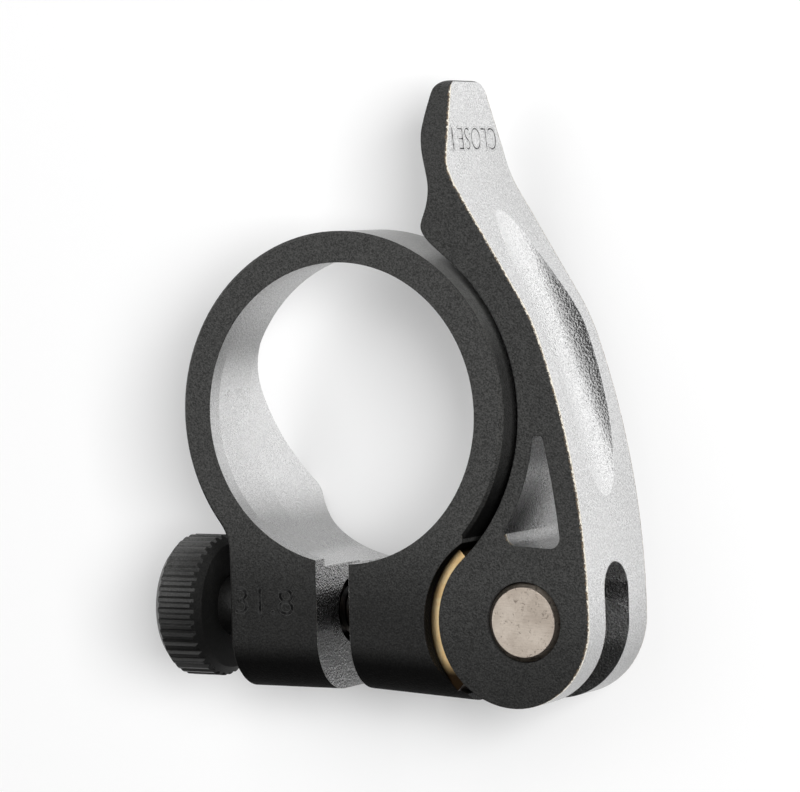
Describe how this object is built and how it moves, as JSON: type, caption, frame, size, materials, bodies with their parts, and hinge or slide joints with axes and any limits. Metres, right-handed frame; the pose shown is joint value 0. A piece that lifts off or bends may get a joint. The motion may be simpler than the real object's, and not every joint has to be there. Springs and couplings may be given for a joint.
{
  "type": "quick-release seatpost clamp",
  "caption": "Split collar with a lip, two lugs and an eccentric cam lever that draws a bolt tight to clamp a bicycle seat tube onto its seatpost.",
  "frame": {"origin": "on the bore's axis, at the height where the seat tube's rim stops under the lip", "axes": "+Z along the bore towards the lip and up the seatpost, -Y towards the lugs, +X to the lever's side"},
  "size_m": [0.0501, 0.0628, 0.0193],
  "materials": {
    "collar": "black anodised, bare bore",
    "lever": "blasted, black flanks",
    "nut": "black anodised",
    "steel": "turned, nickel plated",
    "bolt": "black oxide",
    "brass": "satin"
  },
  "bodies": {
    "collar": {"collar": "collar", "cam_washer": "brass"},
    "lever": {"cam_lever": "lever"},
    "skewer": {"pivot_pin": "steel", "clamp_bolt": "bolt"},
    "nut": {"thumb_nut": "nut"}
  },
  "joints": [
    {"name": "lever_swing", "type": "hinge", "parent": "collar", "child": "lever", "pos_m": [0.01981, -0.01955, -0.0062], "axis": [0, 0, -1], "range_deg": [0, 150]},
    {"name": "pin_turn", "type": "hinge", "parent": "lever", "child": "skewer", "pos_m": [0.02085, -0.01928, -0.0062], "axis": [0, 0, -1], "range_deg": [-146, 0]},
    {"name": "nut_spin", "type": "hinge", "parent": "skewer", "child": "nut", "pos_m": [-0.0164, -0.02157, -0.0062], "axis": [-0.9981, -0.0614, 0], "continuous": true}
  ],
  "couplings": [
    {"joint": "pin_turn", "follows": "lever_swing", "ratio": -0.972}
  ]
}
